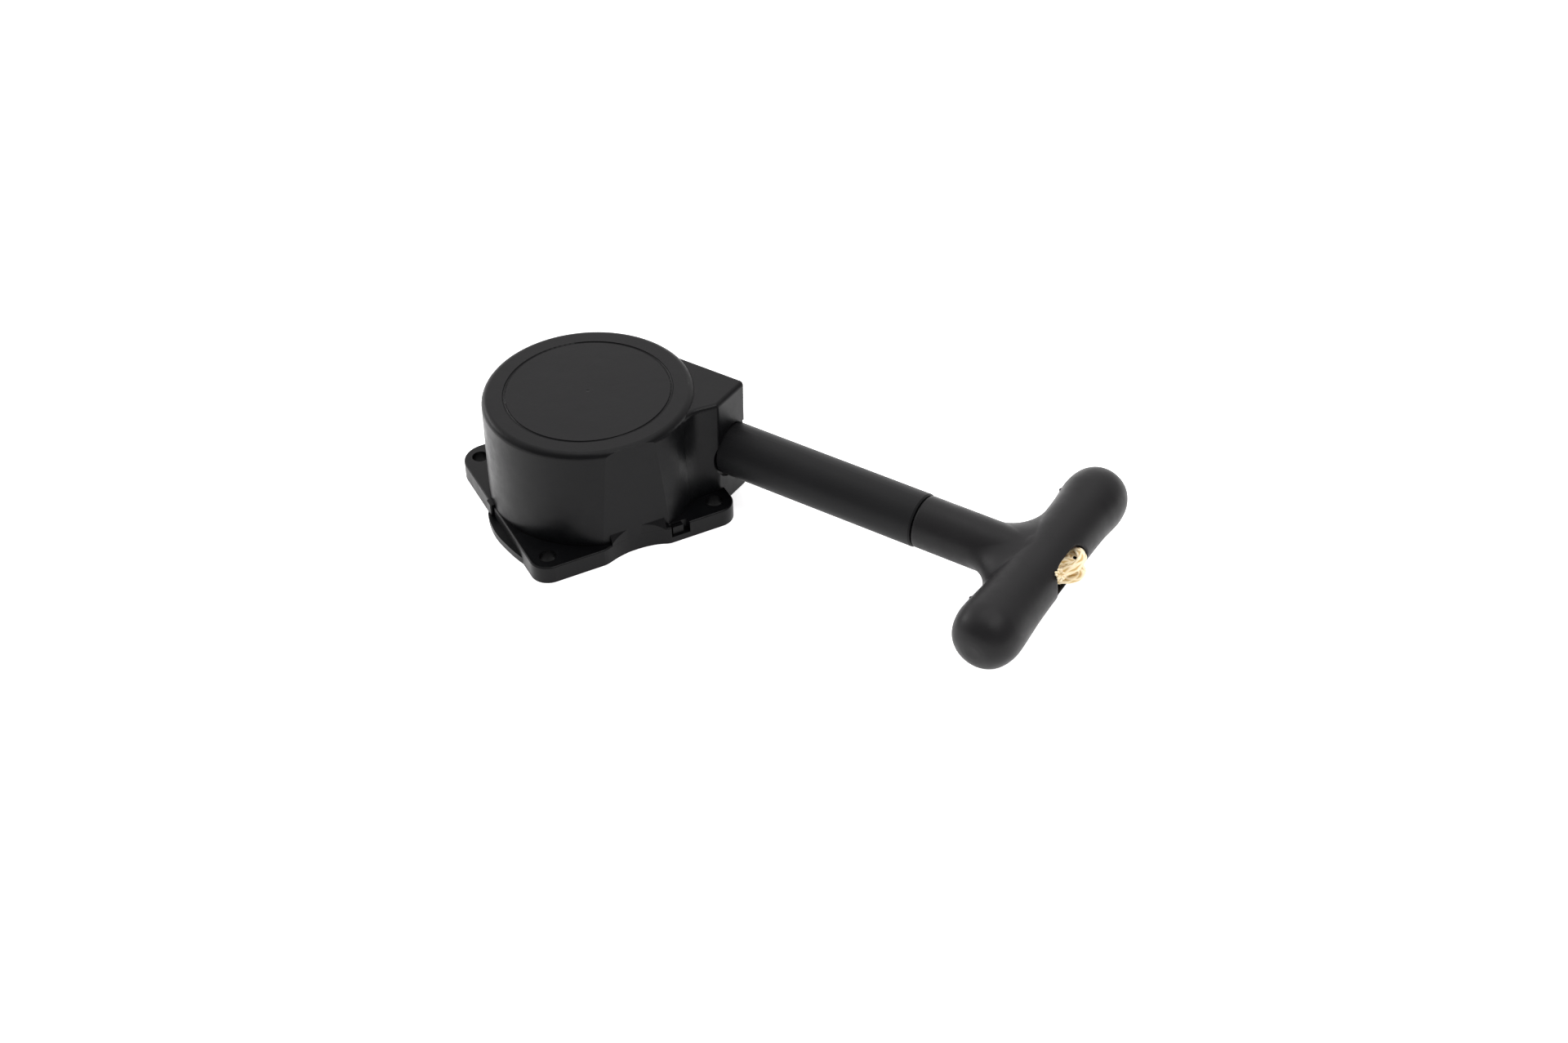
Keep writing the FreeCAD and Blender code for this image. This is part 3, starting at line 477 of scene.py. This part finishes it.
def braid(name, path, radius, phase, seg=32, taper=0.5, relief=0.085, cut=False):
    """A braided rope swept along path (millimetres). phase is the braid's
    angle at each point; crests and hollows go into the attribute crest."""
    T, N, B = frames_along(path)
    s = np.concatenate([[0], np.cumsum(np.linalg.norm(np.diff(path, axis=0), axis=1))])
    th = np.linspace(0, 2 * math.pi, seg, endpoint=False)
    TH, PH = np.meshgrid(th, phase)
    a, b = 4 * TH + PH, 4 * TH - PH
    over = 0.5 + 0.5 * np.tanh(3.5 * np.sin(2 * PH / 2) * np.ones_like(TH) * np.cos(4 * TH))
    h = over * (0.5 + 0.5 * np.cos(a)) + (1 - over) * (0.5 + 0.5 * np.cos(b))
    end = np.minimum(s, s[-1] - s)
    k = np.clip(end / taper, 0, 1)
    shrink = np.sqrt(1 - (1 - k) ** 2) * 0.25 + 0.75
    if cut:
        shrink = np.ones_like(s)
    R = radius * (1 - relief + relief * h) * shrink[:, None]
    P = path[:, None, :] + R[:, :, None] * (np.cos(TH)[:, :, None] * N[:, None, :] + np.sin(TH)[:, :, None] * B[:, None, :])
    n = len(path)
    verts = P.reshape(-1, 3)
    crest = h.reshape(-1)
    faces = []
    i = np.arange(n - 1)[:, None] * seg
    j = np.arange(seg)[None, :]
    j2 = (j + 1) % seg
    quads = np.stack([i + j, i + j2, i + seg + j2, i + seg + j], -1).reshape(-1, 4)
    faces = [tuple(q) for q in quads]
    c0, c1 = len(verts), len(verts) + 1
    verts = np.vstack([verts, path[0] - T[0] * 0.12, path[-1] + T[-1] * 0.12])
    crest = np.concatenate([crest, [0.6, 0.6]])
    for q in range(seg):
        r = (q + 1) % seg
        faces.append((c0, r, q))
        faces.append((c1, (n - 1) * seg + q, (n - 1) * seg + r))
    ob = mesh_object(name, verts * MM, faces)
    at = ob.data.attributes.new("crest", "FLOAT", "POINT")
    at.data.foreach_set("value", crest.astype(np.float32))
    return ob


BRAID = 5.2          # length of one braid repeat, mm


def even(path, step):
    s = np.concatenate([[0], np.cumsum(np.linalg.norm(np.diff(path, axis=0), axis=1))])
    n = max(8, int(s[-1] / step))
    q = np.linspace(0, s[-1], n)
    return np.stack([np.interp(q, s, path[:, k]) for k in range(3)], 1), q


# the run through tube and handle; its braid is drawn so that it is even once
# the rope is pulled right out
X0, X1 = 2.0, 139.0
xs = np.linspace(0.1, POCKET_X0 + 0.6, 6000)
w = np.clip((xs - X0) / (X1 - X0), 0, 1)
out = xs + PULL * w * w * (3 - 2 * w)
n_ring = int((out[-1] - out[0]) / (BRAID / 11))
q = np.linspace(out[0], out[-1], n_ring)
xr = np.interp(q, out, xs)
run = np.stack([xr, np.full_like(xr, RY), np.full_like(xr, RZ)], 1)
rope_run = braid("rope_run_braid", run, 1.3, 2 * math.pi * q / BRAID, seg=28, taper=0.01)
finish_piece(rope_run, "rope_fibre", None, "rope_run")
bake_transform(rope_run)

# turns on the reel, inside out, ending where the run begins
turn_r = [17.05, 17.05, 19.55, 19.55, 21.98]
turn_z = [-1.32, 1.32, 1.32, -1.32, 0.0]
ang = np.radians(np.linspace(200 + 360 * 4, 90, 1500))
prog = (ang[0] - ang) / (2 * math.pi) * 5 / ((ang[0] - ang[-1]) / (2 * math.pi))
base = np.floor(np.clip(prog, 0, 4.999)).astype(int)
nxt = np.minimum(base + 1, 4)
fr = np.clip((prog - base - 0.86) / 0.14, 0, 1)
fr = np.where(base == nxt, 0, fr * fr * (3 - 2 * fr))
rr = np.array(turn_r)[base] * (1 - fr) + np.array(turn_r)[nxt] * fr
zz = np.array(turn_z)[base] * (1 - fr) + np.array(turn_z)[nxt] * fr
coil, q = even(np.stack([rr * np.cos(ang), rr * np.sin(ang), RZ + zz], 1), BRAID / (10))
rope_coil = braid("rope_coil_braid", coil, 1.27, 2 * math.pi * q / BRAID, seg=24)
finish_piece(rope_coil, "rope_fibre", "reel", "rope_coil")


def spline(points, n=14):
    p = np.array(points, float)
    q = np.vstack([2 * p[0] - p[1], p, 2 * p[-1] - p[-2]])
    out = []
    for i in range(len(p) - 1):
        p0, p1, p2, p3 = q[i], q[i + 1], q[i + 2], q[i + 3]
        for k in np.linspace(0, 1, n, endpoint=False):
            out.append(0.5 * ((2 * p1) + (-p0 + p2) * k + (2 * p0 - 5 * p1 + 4 * p2 - p3) * k ** 2
                              + (-p0 + 3 * p1 - 3 * p2 + p3) * k ** 3))
    out.append(p[-1])
    return np.array(out)


def overhand(a, b, c, t0, t1, n=26):
    t = np.linspace(t0, t1, n)
    u = a * (np.sin(t) + 2 * np.sin(2 * t))
    v = b * (np.cos(t) - 2 * np.cos(2 * t)) + 0.47 * b
    w = -c * np.sin(3 * t)
    return np.stack([w, u, v], 1)          # x outwards, t along the bar, z


def join(name, parts):
    """One mesh out of several swept pieces, with their crest attribute."""
    verts, faces, crest, n0 = [], [], [], 0
    for ob in parts:
        me = ob.data
        v = np.empty(len(me.vertices) * 3, np.float32)
        me.vertices.foreach_get("co", v)
        c = np.empty(len(me.vertices), np.float32)
        me.attributes["crest"].data.foreach_get("value", c)
        verts.append(v.reshape(-1, 3))
        crest.append(c)
        faces += [tuple(i + n0 for i in p.vertices) for p in me.polygons]
        n0 += len(me.vertices)
        bpy.data.objects.remove(ob)
        bpy.data.meshes.remove(me)
    ob = mesh_object(name, np.vstack(verts), faces)
    at = ob.data.attributes.new("crest", "FLOAT", "POINT")
    at.data.foreach_set("value", np.concatenate(crest))
    return ob


# stopper knot in the pocket, its end frayed into short yarns
kc = np.array([POCKET_X0 + 4.75 - BAR_X, KNOT_SHIFT, 0.0])
body = overhand(2.2, 1.22, 2.75, 0.42, 2 * math.pi - 1.05) + kc
lead = [(POCKET_X0 - BAR_X - 1.6, 0.0, 0.0), (POCKET_X0 - BAR_X + 0.4, 0.2, 0.0)]
tail = [body[-1] + np.array([0.5, -0.7, 0.9]), body[-1] + np.array([0.9, -0.9, 1.7])]
path = spline(lead + [tuple(p) for p in body] + [tuple(p) for p in tail], 12)
flat = tilt_to_row(path)
path, q = even(flat, BRAID / 14)
parts = [braid("stopper_core", path, 1.5, 2 * math.pi * q / BRAID, seg=36, relief=0.22, cut=True)]
out = path[-1] - path[-3]
out = out / np.linalg.norm(out)
side = np.cross(out, (0.0, 1.0, 0.0))
side = side / np.linalg.norm(side)
wide = np.cross(out, side)
for k in range(11):
    ang = 2.4 * k
    far = 0.28 + 0.11 * k
    spread = side * math.cos(ang) + wide * math.sin(ang)
    p0 = path[-1] - out * 0.9 + spread * min(0.75, far)
    reach = 1.0 + 0.3 * math.sin(5.1 * k)
    pts = [p0, p0 + out * 0.9 + spread * 0.15, p0 + out * (0.9 + 0.55 * reach) + spread * 0.3,
           p0 + out * (0.9 + reach) + spread * (0.3 + 0.35 * reach)]
    fp, fq = even(spline([tuple(p) for p in pts], 6), 0.3)
    parts.append(braid("yarn_%d" % k, fp, 0.42, 2 * math.pi * fq / 2.0, seg=10, relief=0.2, cut=True))
knot = join("stopper_knot", parts)
finish_piece(knot, "rope_fibre", "handle", "rope_knot")

# anchor knot on the reel's upper flange
ac = np.array([-17.29, -6.29, 22.32])
body = overhand(0.62, 0.56, 0.62, 0.5, 2 * math.pi - 0.5, 22)
path = spline([tuple(p) for p in body], 6)
rot = math.radians(200.0)
path = np.stack([ac[0] + path[:, 1] * math.cos(rot) - path[:, 2] * math.sin(rot),
                 ac[1] + path[:, 1] * math.sin(rot) + path[:, 2] * math.cos(rot), ac[2] + path[:, 0]], 1)
path, q = even(path, BRAID / 9)
anchor = braid("anchor_knot", path, 0.82, 2 * math.pi * q / BRAID, seg=20, relief=0.12, cut=True)
finish_piece(anchor, "rope_fibre", "reel", "rope_anchor_knot")
